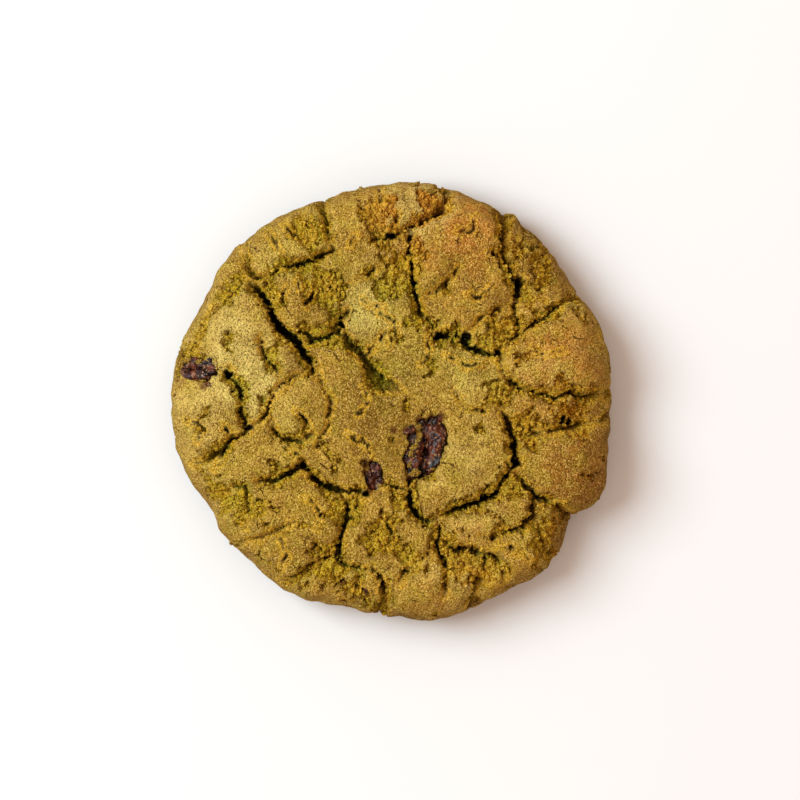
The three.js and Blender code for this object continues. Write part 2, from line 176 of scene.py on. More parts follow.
fruit_meshes = []
for name, at, size, turned, tilted, fold in FRUIT:
    shape = bmesh.new()
    bmesh.ops.create_icosphere(shape, subdivisions=6, radius=1)
    for vert in shape.verts:
        way = vert.co.normalized()
        winding = 0.1 + 0.25 * way.x + 0.12 * math.sin(3 * way.x)
        crease = fold * math.exp(-(((way.y - winding) / CREASE) ** 2)) * max(0, way.z)
        folds = math.sin(7 * way.x + 4 * way.y + at[0]) + float(waves(4 * way.y, 4 * way.z))
        wrinkle = WRINKLE * folds
        fine = 0.16 * noise.noise(way * 3 + Vector(at))
        fine += 0.1 * noise.noise(way * 7) + 0.05 * noise.noise(way * 15)
        vert.co = [w * (1 - crease + wrinkle + fine) * s / 2 for w, s in zip(way, size)]
    lying = Matrix.Rotation(math.radians(turned), 4, "Z") @ Matrix.Rotation(math.radians(tilted), 4, "Y")
    shape.transform(Matrix.Scale(MM, 4) @ Matrix.Translation(at) @ lying)
    fruit_mesh = bpy.data.meshes.new(name + "_skin")
    shape.to_mesh(fruit_mesh)
    shape.free()
    fruit_mesh.polygons.foreach_set("use_smooth", [True] * len(fruit_mesh.polygons))
    fruit_mesh.materials.append(fruit_skin)
    fruit_meshes.append(fruit_mesh)
    fruit = bpy.data.objects.new(name + "_skin", fruit_mesh)
    bpy.context.scene.collection.objects.link(fruit)
    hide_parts(name)
    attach(fruit, "root")


# ---- The dough
# One piece of soft-baked matcha dough. It was scooped onto a tray as a ball, and spread and rose in
# the oven: the skin baked first and tore into plates over the soft middle, and the middle sank a
# little as it cooled. Its base is flat and browned where it lay on the tray.

DIAMETER = 85.2  # at the waist, the widest level, before the plates puff up
WAIST = 6.5  # height of the waist
CRUST = 16.5  # height of the crust, before its plates puff up
SHOULDER = 9.4  # width of the band where the crust rounds over into the side
TUCK = 3.0  # how far the base sits inside the waist
FOOT = 3.5  # height over the base at which the side has its full relief
PUFF = 0.8  # how much a plate's middle stands over its torn edge
PUFF_REACH = 0.7  # how quickly a plate rises to that from a tear
BULGE = 0.7  # how much a wide plate rises further towards its middle
BULGE_REACH = 2.4  # how quickly it does that
LUMPS = 0.26  # height of the plates' unevenness, a few millimetres across
ROUGHNESS = 0.18  # height of the crust's finer roughness, two or three millimetres across
BREAK_DEPTH = 0.85  # how far broken dough lies below the crust
PIT_DEPTH = 2.0  # of the black holes beside the tears
POCKET_DEPTH = 3.0  # of the hollow that each piece of fruit lies in
TEAR_STEP = 1.15  # between the bends of a tear
ZIGZAG = 0.5  # how far a tear strays to either side of its route
BANK = 5.0  # how far from a tear its higher and lower bank reach
SIDE_TEARS = 0.2  # share of its depth that a tear keeps where it runs down the side

RIM = DIAMETER / 2
TOP_RADIUS = RIM - SHOULDER


def quarter_ellipse(a, b):
    """The length of a quarter of an ellipse with half-axes a and b, near enough."""
    return math.pi / 2 * math.sqrt((a * a + b * b) / 2)


SIDE_TOP = TOP_RADIUS + quarter_ellipse(SHOULDER, CRUST - WAIST)
SHEET_RADIUS = SIDE_TOP + quarter_ellipse(TUCK, WAIST)

# Bulges (+) and dents (-) of the outline: direction and half-width in degrees, millimetres.
LOBES = [
    (14, 11, 0.6), (34, 8, -1), (57, 2.5, 1), (80, 8, 0.5), (108, 17, -0.8), (140, 8, 0.4),
    (153, 9, -1), (180, 22, 0.7), (210, 7, -1.2), (228, 7, -0.8), (257, 8, -1.5), (271, 4, -0.8),
    (286, 12, 1), (313, 9, 1.9), (327, 3.5, -1.4), (337, 8, 2.1),
]

# Broad rises (+) and hollows (-) of the crust, a plate or a hole each: x, y, reach, millimetres.
SWELLS = [
    (32, 10, 8, 1.1), (33, -13, 8, 1.2), (13.4, 30, 8, 1), (0, 38, 6, 0.4), (-22, 31, 5, 1.1),
    (-19.6, 20, 4.6, 1.3), (-30, 8, 5, 0.6), (-38, -4, 7, 0.8), (-20, -4.6, 4, 0.7), (-22, 9, 2.6, 0.8),
    (-20, -24, 7, 0.9), (-4.6, -3.6, 6, 0.9), (14, -12, 6, 0.9), (16, -24.4, 3.6, 0.7), (21, -22.4, 3.6, 0.7),
    (23, -33, 5, 0.7), (4, -36, 6, 0.6), (-4, 17, 10, -2.4), (-13, 3, 6, -0.9), (37.6, -2, 3.6, -2.2),
    (33.5, -26, 3.6, -1.7), (29, 23, 4.5, -1.3), (23, 16, 4, -1), (-34, -19, 5, -0.8),
    (8, -6.4, 4, -2.3), (5, -12.8, 4, -2.3), (-3.8, -14.8, 2.8, -1.6), (-38.4, 6.4, 3.6, -1.2),
]

# The tears, as seen from above: width and depth of the opening, how much the bank on the left
# stands over the one on the right, and the corners of the route, in millimetres.
TEARS = [
    # round the sunken middle
    (2, 4.4, 0, (-28.6, 23.4), (-25.6, 19.6), (-23.4, 16.2), (-20.6, 13.8), (-18.8, 11.8), (-15.6, 4.8)),
    (1.2, 2.8, 0, (-20, 13.8), (-17.2, 13.8), (-15.4, 12.2), (-12.6, 13.2), (-10.2, 13.6)),
    (2.4, 2.2, -1.2, (-11.4, 14.4), (-8.4, 10.8), (-5, 7), (-3, 4.6), (1.6, 2.2)),
    (1.1, 3, 0.9, (-11, 13.8), (-10.4, 16.6), (-9, 18.4)),
    (1.2, 3.6, 0.9, (4.2, 34), (2.6, 30.2), (3.2, 25.8), (4, 22.2), (5.4, 19.6), (6.6, 16)),
    (1.2, 3.2, 0.8, (6.6, 16), (8.8, 12.8), (13.4, 13), (15.6, 10.4), (21.8, 7.8)),
    (0.6, 1.2, 0, (5.8, 20.8), (9.4, 22.6), (12, 24.2), (13.4, 26.4)),
    (0.6, 1.4, 0.5, (-8.2, 23.2), (-5.4, 24.4), (-3, 26.8)),
    (0.5, 1.2, 0, (-5.4, 9.2), (-4.4, 10.8), (-1.4, 13.6)),
    (0.5, 1.2, 0, (12, 1.6), (13.6, -1.4), (15, -2.2), (18.2, -2.2)),
    # the upper left and the top
    (1, 2.4, 0.7, (-28.6, 30.2), (-28, 24.8), (-32.2, 22), (-35, 18.4), (-37.6, 12.8), (-38.6, 10)),
    (0.8, 3, 1.4, (-28.4, 24.6), (-25.6, 24), (-19.2, 27.2), (-15.2, 28.8), (-11, 29.8)),
    (0.9, 2.2, -0.8, (-14.6, 45), (-14.2, 37.8), (-13.2, 33.2), (-11.2, 30)),
    (1.1, 3, 0.4, (-4.4, 32), (0.8, 32.4), (3.8, 34.6), (7.8, 37), (10.2, 39.4), (9.6, 46)),
    # the right
    (1.9, 5, -1.2, (23.4, 41), (21.8, 34), (21.2, 29), (23.4, 26.4), (25.6, 23.4), (24.4, 19.4)),
    (0.7, 1.6, 0, (24.4, 19.4), (24.8, 16), (23.4, 12)),
    (0.5, 1, -0.7, (21.4, 19.2), (17.8, 16.6), (14.6, 12.6)),
    (0.8, 1.8, 0.5, (23.6, 32.4), (27.4, 30.4), (34, 29.4)),
    (0.8, 2, -0.9, (21.8, 7.8), (23.6, 11.8), (29.4, 16.6), (36.2, 20.2), (41, 22)),
    (0.9, 2.4, 1.1, (21.8, 7.8), (23, 4.2), (27, 1.8), (32.4, 0.2), (35.6, 2.4), (38, 1), (46, 1.6)),
    (0.6, 1.5, 1.1, (42.6, -1.8), (39.4, -4.6), (36.4, -6), (30.4, -6), (24.4, -6.8)),
    (1.1, 2, 0, (42.2, 8), (43, 4.2), (43.6, 1)),
    # the left
    (1, 2.8, 0.7, (-33.6, 6.4), (-31.4, 3.6), (-30.4, -1.4), (-28.6, -5.8)),
    (1, 2.4, 0, (-28.6, -5.6), (-32.6, -9.2), (-34.4, -10.8), (-39, -12)),
    (0.7, 1.8, 0.4, (-28.6, -5.4), (-25, -3), (-24, -0.8), (-22, 3), (-18.4, 5.6)),
    (0.7, 1.8, 0.4, (-24.6, -4.4), (-22.6, -7.4), (-19, -7.8), (-15.8, -6)),
    (0.8, 2, 0.8, (-25.8, 13), (-25.4, 10), (-24.2, 7.2), (-22.4, 4)),
    (0.5, 1.2, 0, (-15.4, 6.6), (-14.6, 3.6), (-11.6, -0.2), (-12.6, -4.8), (-15.6, -8.8)),
    # the lower left
    (1.2, 3.4, 0, (-27, -15.6), (-20, -14.8), (-18, -12.4), (-17, -15), (-10.6, -17), (-5, -18.4)),
    (0.7, 1.8, 0, (-34.4, -18.8), (-29.2, -17), (-28.2, -21.4), (-29, -25)),
    (0.6, 1.4, 0.4, (-28, -27.4), (-24.2, -25.6), (-19.2, -24.2)),
    (0.9, 2.4, 0.5, (-21.6, -35.2), (-18.6, -35.2), (-15.4, -31.8), (-12, -30.2)),
    (1, 2.6, 0, (-10.6, -17), (-8, -22.8), (-11.2, -28.4), (-11, -32.4), (-4, -33.4)),
    (1.3, 3, 0, (-3.8, -32.8), (-2, -36), (-2.4, -40), (-2.8, -46)),
    # the lower right
    (1, 3.4, 0, (3.2, -14.6), (3.4, -19.8), (5, -22.8), (8.6, -24)),
    (0.7, 1.8, 0, (-2, -16), (3.4, -18)),
    (1.4, 4, 1.4, (8.6, -24), (12.4, -21.4), (20.4, -18.2), (24.4, -12.4), (23.2, -7.8), (21.8, -2.2)),
    (1, 2.8, 0, (9.4, -24), (9.8, -26), (8.8, -29.2), (10.2, -34), (10, -38)),
    (0.7, 1.6, 0, (8.6, -29.4), (4, -31.8), (1.8, -36)),
    (1, 2.6, 0.5, (10, -27.4), (11.8, -29), (14.6, -28.8), (18, -31), (17.6, -33.6)),
    (1, 2.8, 0.7, (17.6, -26.8), (19.6, -27.6), (24.4, -25.6), (27.2, -23.4), (27.6, -17)),
    (1.2, 3.2, 0.8, (24, -13.8), (27.4, -16.8), (29.6, -19.8), (34.8, -22.4), (40, -24.4)),
    (0.9, 2, -0.7, (27.8, -21.6), (29.4, -27.8), (31.8, -31), (37, -36)),
    (0.9, 2.2, 0, (16.2, -35), (16.2, -37.8), (15.4, -44)),
    (0.7, 1.8, 0, (18.4, -29.6), (21.4, -32.2), (20.8, -35.4)),
]

# Cracks too fine to part the plates: width, depth and route.
CRACKS = [
    (0.4, 1.2, (-19.6, -1.8), (-18, -3.8), (-16.6, -5.4)),
    (0.4, 1.2, (-21, 22.2), (-21.4, 20.2), (-22, 18.6)),
    (0.4, 1.2, (-18.6, 24.2), (-18.6, 21.8)),
    (0.5, 1.4, (-15.8, 22.6), (-16.2, 20.2), (-17, 18)),
    (0.4, 1.2, (-12.6, 23.8), (-11.8, 21.8), (-10.6, 20.4)),
    (0.5, 1.4, (-18, 35.8), (-16.8, 34.2), (-15.2, 32.4)),
    (0.4, 1.2, (-20.4, 34.4), (-18.8, 32), (-17.4, 30.6)),
    (0.4, 1, (-24.4, 32), (-22.8, 30.2), (-21.6, 29)),
    (0.4, 1.2, (-7, 32.6), (-8.2, 30.2)),
    (0.5, 1.4, (0.8, 36.8), (-0.8, 34.4)),
    (0.4, 1.2, (-2.8, 41.4), (-1.6, 38.8)),
    (0.5, 1.4, (22.2, 16.4), (23.8, 14.6), (24.6, 12.8)),
    (0.5, 1.6, (18.6, 28.8), (21.2, 28.8)),
    (0.5, 1.6, (29.8, 22.6), (30, 20)),
    (0.4, 1.2, (40.4, 11.6), (43, 12.4)),
    (0.4, 1, (39.8, 16.4), (41.4, 14.4)),
    (0.5, 1.2, (24, -3.6), (26.6, -2.6)),
    (0.5, 1.2, (24, -29.8), (22, -28.8)),
    (0.4, 1.2, (25.2, -30), (26.6, -31.8)),
    (0.5, 1.4, (16, -35.4), (19.4, -35.2)),
    (0.5, 1.4, (18, -29.8), (20.2, -29)),
    (0.4, 1, (-33, -4.6), (-31, -7.6)),
    (0.4, 1, (-35, -13.4), (-33.2, -11.8)),
    (0.4, 1, (-20, -9.8), (-18.8, -10.8)),
    (0.4, 1, (-39.6, -3), (-37.4, -5.2), (-38, -8)),
    (0.4, 0.8, (6.4, 12.4), (7.2, 9.8), (6.2, 7.2)),
    (0.4, 0.8, (-2.4, 17.8), (0, 16), (0.6, 13.2), (-1, 10.8)),
    (0.4, 0.8, (-6.4, 19.8), (-4, 18.2), (-2, 18.8)),
    (0.4, 0.8, (10.8, 9.6), (14.2, 7), (18.2, 6.6)),
    (0.4, 0.8, (-6.6, 2.8), (-5.2, -0.4), (-6.8, -3.2)),
    (0.4, 0.8, (-9, -6), (-5.2, -8), (-4.2, -11.4)),
    (0.4, 0.8, (27, 9.8), (30.4, 8.4), (33.2, 9.8)),
    (0.4, 0.8, (-22.4, -26.2), (-20, -30), (-22, -33)),
    (0.4, 0.8, (-17.2, -18.8), (-14.6, -22), (-15.6, -25.4)),
    (0.4, 0.8, (-1.8, -23.4), (0.4, -26.6), (-1, -29.4)),
    (0.4, 0.8, (12.6, 33.6), (15.4, 32.4), (16.2, 35.4)),
    (0.4, 0.8, (14, 20.8), (17.2, 20.2), (18.8, 22.6)),
]

# Holes in the crumb beside the tears, black with painted shade: x, y and half the width.
PITS = [
    (-18, -12.8, 0.8), (-5.4, -18.3, 0.7), (-34, -10.4, 0.7), (-28.8, -5.8, 0.8), (24.4, -12.2, 0.9),
    (29.6, -19.8, 0.8), (33.8, -3.8, 0.8), (35.2, -4.2, 0.7), (-0.4, 33, 0.9), (10.6, 41.2, 0.7),
    (9.8, 38.4, 0.9), (8.8, 13, 0.9), (10.9, 13.6, 0.6), (14.6, 12.6, 1), (15.8, 10.6, 0.9), (43, 4.6, 0.8),
    (16.4, -35.6, 0.5), (-7.4, -36.8, 0.5), (-5.4, -37.4, 0.5), (-9.6, -39, 0.6), (32.2, -24, 0.4),
    (-32.4, 5.4, 0.8), (21.6, 31.4, 1), (25.2, 23.6, 1), (4.2, 23.2, 0.9), (20.4, 9.2, 0.7),
    (-2.2, -36.4, 0.8), (12.8, -29, 0.5), (37.6, 1.4, 0.6), (-10.4, 15, 0.8), (-10.8, -28.6, 0.6),
]

# Where the crust has broken up into crumbs: x, y and reach.
CRUMBLED = [
    (37, -3, 5), (23, 15.5, 5), (29, 24, 5), (27, 30, 4), (-34, -18, 4), (-29, -21, 4),
    (-12, 14, 3), (5, 16, 3), (19, 10.6, 3.4), (2, -20, 3), (-2, -27, 5), (-13, -33, 5),
    (31, -26, 5), (7, 39, 4), (-2, 37, 5), (-17, 33, 4), (-14, 22, 5), (-24, 21, 3), (-33, 21, 3),
    (-24, 9, 2), (20, 0, 4), (25, -4, 4), (-41, 8, 4), (13, -31, 5), (-10, -22, 4), (-1, 24, 4),
    (24, -16, 3), (-38.6, 9.6, 3), (3, 28, 4), (-7, -37, 4), (18, -34, 4),
]

# How the crust is coloured: x, y, reach, greener (+) or browner (-) from the baking, and paler (+) or darker
# (-), which is partly the bake and partly painted light: paler to the left, where the light falls, and darker
# on the right and lower side as painted shade.
TINTS = [
    (-38, -3, 8, 0, 0.5), (-28.6, 4.6, 6, 0.6, 2.2), (-31, 15, 6, 0.2, 0.9), (-4.6, 18, 7, 0.9, 0.9),
    (4, 8, 6, 0.5, -0.6), (-5, -2, 8, 0, -1.2), (15, 34, 9, -1, 0), (11, 24, 8, -0.1, -0.4),
    (33, 9, 10, -0.8, 0.2), (34, -14, 9, -0.6, -0.5), (-20, -25, 9, 0, -0.3), (14, -35, 8, -0.4, 0.6),
    (14, -12, 7, 0.2, 0.4), (18, -24, 5, -0.4, 0.3), (4, 38, 8, -1.3, 1.1), (37, -3, 5, -0.5, -0.6),
    (15, 6, 6, 0.6, 0.5), (-4, -29, 7, 0.1, -0.3), (34, -27, 7, -0.7, -0.6), (29, 25, 6, -0.1, -0.3),
    (-17, 20, 5, 0.2, -0.1), (-20, 30, 7, 0.3, 0.2), (-32, -18, 6, 0.3, 0.3), (-20, -5, 6, 0.3, 0.2),
    (40, -17, 6, -0.6, -1), (5, -44, 7, 0, -1.6), (28, -36, 7, -0.2, -1.1), (43, -4, 6, -0.3, -1),
    (-43, 14, 8, 0, 0.6), (-14, -42, 6, 0, -0.4),
]

# Where juice from the fruit stained the dough: x, y and reach.
STAINS = [
    (3, -5.8, 1.4), (5.2, -3.8, 1.2), (9.6, -3, 1), (0, -5.8, 0.9), (-5.4, -12.4, 1.2), (-5.6, -14.2, 1),
    (-4.6, -17.6, 1), (3.2, -14.8, 1), (-10, -35.8, 1.1), (-5.2, -37.4, 0.9), (-37, 2.8, 1), (-42, 9, 0.8),
]

GRID = 314  # points along each side of the sheet's grid


def bell(x):
    return np.exp(-x * x)


def smoothly(x, low, high):
    t = np.clip((x - low) / (high - low), 0, 1)
    return t * t * (3 - 2 * t)


def mix(a, b, t):
    return a + (b - a) * t


def outline_shift(angle):
    """How far the outline stands out of, or in from, a circle in one direction."""
    shift = np.zeros_like(angle)
    for at, half_width, height in LOBES:
        away = (np.degrees(angle) - at + 180) % 360 - 180
        shift += height * bell(away / half_width)
    return shift


def shift_share(distance):
    return smoothly(distance, TOP_RADIUS - 6, RIM)


def unroll(x, y):
    """The point of the flat sheet that is seen at (x, y) from above. Past the outline it is on the side."""
    angle, distance = math.atan2(y, x), math.hypot(x, y)
    seen = distance - float(outline_shift(np.array(angle)) * shift_share(distance))
    reach = seen
    if seen > RIM:
        reach = SIDE_TOP + seen - RIM
    elif seen > TOP_RADIUS:
        turn = math.asin((seen - TOP_RADIUS) / SHOULDER)
        reach = mix(TOP_RADIUS, SIDE_TOP, turn / (math.pi / 2))
    return np.array((reach * math.cos(angle), reach * math.sin(angle)))


def base_form(sheet):
    """The smooth surface under points of the flat sheet, and its outward normals."""
    angle, reach = np.arctan2(sheet[:, 1], sheet[:, 0]), np.hypot(*sheet.T)
    over = np.clip((reach - TOP_RADIUS) / (SIDE_TOP - TOP_RADIUS), 0, 1) * math.pi / 2
    under = np.clip((reach - SIDE_TOP) / (SHEET_RADIUS - SIDE_TOP), 0, 1) * math.pi / 2
    below = reach > SIDE_TOP
    shoulder = reach > TOP_RADIUS
    radius = np.where(shoulder, TOP_RADIUS + SHOULDER * np.sin(over), reach)
    radius = np.where(below, RIM - TUCK * (1 - np.cos(under)), radius)
    height = np.where(shoulder, WAIST + (CRUST - WAIST) * np.cos(over), CRUST)
    height = np.where(below, WAIST * (1 - np.sin(under)), height)
    out = np.where(below, WAIST * np.cos(under), (CRUST - WAIST) * np.sin(over))
    up = np.where(below, -TUCK * np.sin(under), SHOULDER * np.cos(over))
    radius = radius + outline_shift(angle) * shift_share(radius)
    length = np.hypot(out, up)
    point = np.stack((radius * np.cos(angle), radius * np.sin(angle), height), 1)
    normal = np.stack((out / length * np.cos(angle), out / length * np.sin(angle), up / length), 1)
    return point, normal


def stray(step, tear):
    """A repeatable stand-in for chance: a number from -1 to 1 for each step of each tear."""
    return math.sin(step * 12.9898 + tear * 78.233)


def spaced(route, spacing):
    """Even steps along a route seen from above: points of the sheet, directions, share of the way."""
    corners = np.array([unroll(*corner) for corner in route])
    marks = np.concatenate(((0,), np.cumsum(np.hypot(*np.diff(corners, axis=0).T))))
    along = np.linspace(0, 1, max(3, round(marks[-1] / spacing) + 1))
    at = np.stack([np.interp(along * marks[-1], marks, corners[:, k]) for k in (0, 1)], 1)
    ahead = np.concatenate((at[2:], at[-1:], at[-1:])) - np.concatenate((at[:1], at[:1], at[:-2]))
    return at, ahead / np.hypot(*ahead.T)[:, None], along


def jagged(wide, deep, route, number):
    """A tear's route as short jagged steps: rows of x, y, half-width and depth."""
    at, ahead, along = spaced(route, TEAR_STEP)
    closing = (4 * along * (1 - along)) ** 0.4  # a tear closes at its ends
    astray = np.array([stray(step, number) for step in range(len(at))])
    varied = np.array([stray(step + 7, number) for step in range(len(at))])
    at = at + (ZIGZAG * astray)[:, None] * np.stack((-ahead[:, 1], ahead[:, 0]), 1)
    half = wide / 2 * (0.2 + 0.6 * closing) * (1 + 0.4 * varied)
    return np.column_stack((at, half, deep * closing))


def torn(points, routes):
    """How far points of the sheet lie inside the nearest opening, and the depth of that one."""
    inside, deep = np.full(len(points), -9.0), np.zeros(len(points))
    for rows in routes:
        low, high = rows[:, :2].min(0) - 8, rows[:, :2].max(0) + 8
        near = np.flatnonzero(((points > low) & (points < high)).all(1))
        for start, end in zip(rows[:-1], rows[1:]):
            along = end[:2] - start[:2]
            t = np.clip((points[near] - start[:2]) @ along / (along @ along), 0, 1)
            in_by = mix(start[2], end[2], t) - np.hypot(*(points[near] - start[:2] - t[:, None] * along).T)
            closer = in_by > inside[near]
            inside[near[closer]] = in_by[closer]
            deep[near[closer]] = mix(start[3], end[3], t)[closer]
    return inside, deep


def banked(points):
    """How much the plates stand higher or lower along the tears between them."""
    shift = np.zeros(len(points))
    for wide, deep, rise, *route in TEARS:
        if rise:
            at, ahead, along = spaced(route, TEAR_STEP)
            near = np.flatnonzero(((points > at.min(0) - 9) & (points < at.max(0) + 9)).all(1))
            away = points[near, None] - at
            closest = np.argmin((away**2).sum(-1), 1)
            gap = away[np.arange(len(near)), closest]
            side = ahead[closest, 0] * gap[:, 1] - ahead[closest, 1] * gap[:, 0]
            fade = (4 * along * (1 - along))[closest] ** 0.4 * bell(np.hypot(*gap.T) / BANK)
            shift[near] += rise / 2 * fade * np.tanh(side / 0.4)
    return shift


# The sheet is a square grid squeezed into a disc, so that its edge is round and its middle even.
line = np.linspace(-1, 1, GRID)
across, down = np.meshgrid(line, line)
wide = np.abs(across) > np.abs(down)
longer = np.where(wide, across, down)
share = np.where(wide, down, across) / np.where(longer == 0, 1, longer)
turn = np.where(wide, share, 2 - share) * math.pi / 4
disc = np.stack((longer * np.cos(turn), longer * np.sin(turn)), -1).reshape(-1, 2)
out = np.hypot(*disc.T)
sheet = disc * (SHEET_RADIUS * (0.72 + 0.28 * out**3))[:, None]

# Chance at each point of the sheet: a wander that frays the tears, and roughness of several sizes.
spots = [Vector((x, y, 0)) for x, y in sheet]


def rough(size, seed):
    """Chance heights of about -1 to 1, size millimetres from one to the next."""
    shifted = Vector((seed, 2 * seed, seed / 3))
    return np.array([noise.noise(spot / size + shifted) for spot in spots]) * 1.6


noise.seed_set(3)  # so that the tears wander alike each time
fray = np.zeros_like(sheet)
for size, amount in ((3, 0.5), (1.2, 0.35)):
    fray += amount * np.array([noise.noise_vector(spot / size + Vector((size, 3, 1)))[:2] for spot in spots])
patches, soft, knotty, gritty = rough(5, 9), rough(1.9, 4), rough(0.9, 6), rough(0.5, 8)
# Broken dough is knobs a little over a millimetre across, with clefts between them.
cells = [noise.voronoi(spot * 0.75 + Vector((*wander, 0)) * 0.7)[0] for spot, wander in zip(spots, fray)]
knob = 0.5 - np.array([nearest[0] for nearest in cells])
cleft = bell(np.array([nearest[1] - nearest[0] for nearest in cells]) / 0.12)

# Dough breaks round its crumbs, so an edge runs from crumb to crumb: each point takes its crumb's middle.
CRUMB_SIZE = 0.75  # millimetres
in_crumbs = [Vector((*(at + wander), 4)) / CRUMB_SIZE for at, wander in zip(sheet, fray)]
crumb_middles = np.array([noise.voronoi(place)[1][0][:2] for place in in_crumbs]) * CRUMB_SIZE

frayed = sheet + fray
tear_lines = [jagged(*tear[:2], tear[3:], number) for number, tear in enumerate(TEARS)]
crack_lines = [jagged(*crack[:2], crack[2:], number + 60) for number, crack in enumerate(CRACKS)]
away = np.maximum(0, -torn(frayed, tear_lines)[0])
inside, deep = torn(mix(frayed, crumb_middles, 0.6), tear_lines)
in_crack, crack_deep = torn(mix(frayed, crumb_middles, 0.5), crack_lines)
inside += 0.3 * soft + 0.2 * knotty + 0.2 * gritty
in_crack += 0.2 * soft + 0.25 * knotty + 0.15 * gritty
crumbled = np.zeros(len(sheet))
for x, y, reach in CRUMBLED:
    crumbled = np.maximum(crumbled, bell(np.hypot(*(sheet - unroll(x, y)).T) / reach))
pitted = np.full(len(sheet), -9.0)
for x, y, reach in PITS:
    pitted = np.maximum(pitted, reach - np.hypot(*(frayed + fray * 0.5 - unroll(x, y)).T) + 0.3 * knotty)

green, pale = np.zeros(len(sheet)), np.zeros(len(sheet))
for x, y, reach, greener, paler in TINTS:
    share = bell(np.hypot(*(sheet - unroll(x, y)).T) / reach)
    green += greener * share
    pale += paler * share
pale += 0.3 * patches
stained = np.zeros(len(sheet))
for x, y, reach in STAINS:
    stained = np.maximum(stained, bell(np.hypot(*(sheet + 0.5 * fray - unroll(x, y)).T) / reach))

reach = np.hypot(*sheet.T)
point, normal = base_form(sheet)
open_share = mix(1, SIDE_TEARS, smoothly(reach, TOP_RADIUS + SHOULDER / 2, SIDE_TOP))
on_crust = 1 - smoothly(reach, TOP_RADIUS + SHOULDER * 0.7, SIDE_TOP + 2)
gap = np.clip(0.9 + 0.7 * soft + 1.2 * patches, 0, 2.6)
ledge = smoothly(inside + gap, -0.1, 0.1) * smoothly(deep, 0.8, 2)
loose = smoothly(crumbled + 0.5 * patches + 0.35 * soft + 0.15 * knotty, 0.45, 0.55)
broken = np.maximum(loose, ledge) * (1 - smoothly(reach, SIDE_TOP - 2, SIDE_TOP + 2))
relief = PUFF * (1 - open_share * np.exp(-away / PUFF_REACH)) + open_share * banked(sheet)
relief += open_share * BULGE * (1 - np.exp(-away / BULGE_REACH))
relief -= open_share * deep * smoothly(inside, -0.1, 0.3)
relief -= open_share * crack_deep * smoothly(in_crack, -0.1, 0.15)
relief -= PIT_DEPTH * smoothly(pitted, 0, 0.3)
relief -= BREAK_DEPTH * broken
for x, y, swell_reach, rise in SWELLS:
    relief += rise * bell(np.hypot(*(sheet - unroll(x, y)).T) / swell_reach)
relief += LUMPS * mix(0.4, 1, on_crust) * waves(sheet[:, 0] / 1.7, sheet[:, 1] / 1.7)
relief += ROUGHNESS * rough(2.6, 14)
relief += broken * (1.2 * knob - 0.8 * cleft * smoothly(soft, -0.4, 0.4) + 0.35 * knotty + 0.2 * gritty)
broken_edge = 4 * broken * (1 - broken)
relief += 0.25 * broken_edge
relief += mix(0.2, 1, on_crust) * (0.05 * soft + 0.07 * knotty + 0.06 * gritty)
for name, at, size, turned, tilted, fold in FRUIT:
    offset = point[:, :2] + normal[:, :2] * relief[:, None] - at[:2]
    offset = offset @ Matrix.Rotation(math.radians(turned), 2)
    offset = np.hypot(*(offset / size[:2] * 2 / (math.cos(math.radians(tilted)), 1)).T)
    relief -= POCKET_DEPTH * smoothly(offset + 0.1 * soft + 0.08 * knotty, 0.98, 0.86)
relief *= smoothly(point[:, 2], 0.3, FOOT)
surface = point + normal * relief[:, None]
green += 0.65 * bell(away / 1.6) * smoothly(deep, 0.5, 1.5) * (0.6 + 0.6 * patches) * on_crust
floor_lit = mix(0.05, 0.3, smoothly(deep, 2, 4))  # a shallow tear's floor catches light
opening = np.maximum(np.maximum(np.minimum(inside, floor_lit), in_crack), pitted) * open_share
# The lips along the openings, which the dough is painted lighter at: partly their own colour, partly a
# painted highlight.
lip = np.maximum(bell((opening + 0.5) / 0.45) * on_crust, 0.7 * broken_edge)
on_top = 1 - smoothly(reach, TOP_RADIUS + 3, TOP_RADIUS + 9)

# The grid's faces, and the flat base: a fan of faces round its middle, which closes the dough.
rows = np.arange(GRID * GRID).reshape(GRID, GRID)
quads = np.stack((rows[:-1, :-1], rows[:-1, 1:], rows[1:, 1:], rows[1:, :-1]), -1).reshape(-1, 4)
edge = np.concatenate((rows[0, :-1], rows[:-1, -1], rows[-1, :0:-1], rows[:0:-1, 0]))
middle = len(surface)
surface = np.concatenate((surface, ((0, 0, 0),)))
faces = [tuple(map(int, quad)) for quad in quads]
faces += [(middle, int(b), int(a)) for a, b in zip(edge, np.roll(edge, -1))]

dough_mesh = bpy.data.meshes.new("cookie_dough")
dough_mesh.from_pydata((surface * MM).tolist(), [], faces)
for name, values in (
    ("opening", opening),
    ("broken", broken),
    ("lip", lip),
    ("side", 1 - on_crust),
    ("green", green),
    ("pale", pale),
    ("stained", stained),
    ("crumbly", (0.7 * broken + 0.4 * lip * on_top) * smoothly(-opening, 0, 0.2)),
):
    mask = dough_mesh.attributes.new(name, "FLOAT", "POINT")
    mask.data.foreach_set("value", np.append(values, 0).astype(np.float32))
sheet_place = dough_mesh.attributes.new("sheet", "FLOAT_VECTOR", "POINT")
sheet_place.data.foreach_set("vector", (np.pad(sheet, ((0, 1), (0, 1))) * MM).ravel().astype(np.float32))
torn_face = np.append(broken, 0)[np.array(faces[: len(quads)])].mean(1) > 0.4  # a break is all small facets
dough_mesh.polygons.foreach_set("use_smooth", np.append(~torn_face, [True] * len(edge)))
dough = bpy.data.objects.new("cookie_dough", dough_mesh)
bpy.context.scene.collection.objects.link(dough)


dough_skin = bpy.data.materials.new("baked_matcha_dough")
dough_skin.use_nodes = True
tree = dough_skin.node_tree
shader = tree.nodes["Principled BSDF"]
place = node(tree, "ShaderNodeTexCoord").outputs["Object"]


def mask_of(name):
    return node(tree, "ShaderNodeAttribute", attribute_name=name).outputs["Fac"]


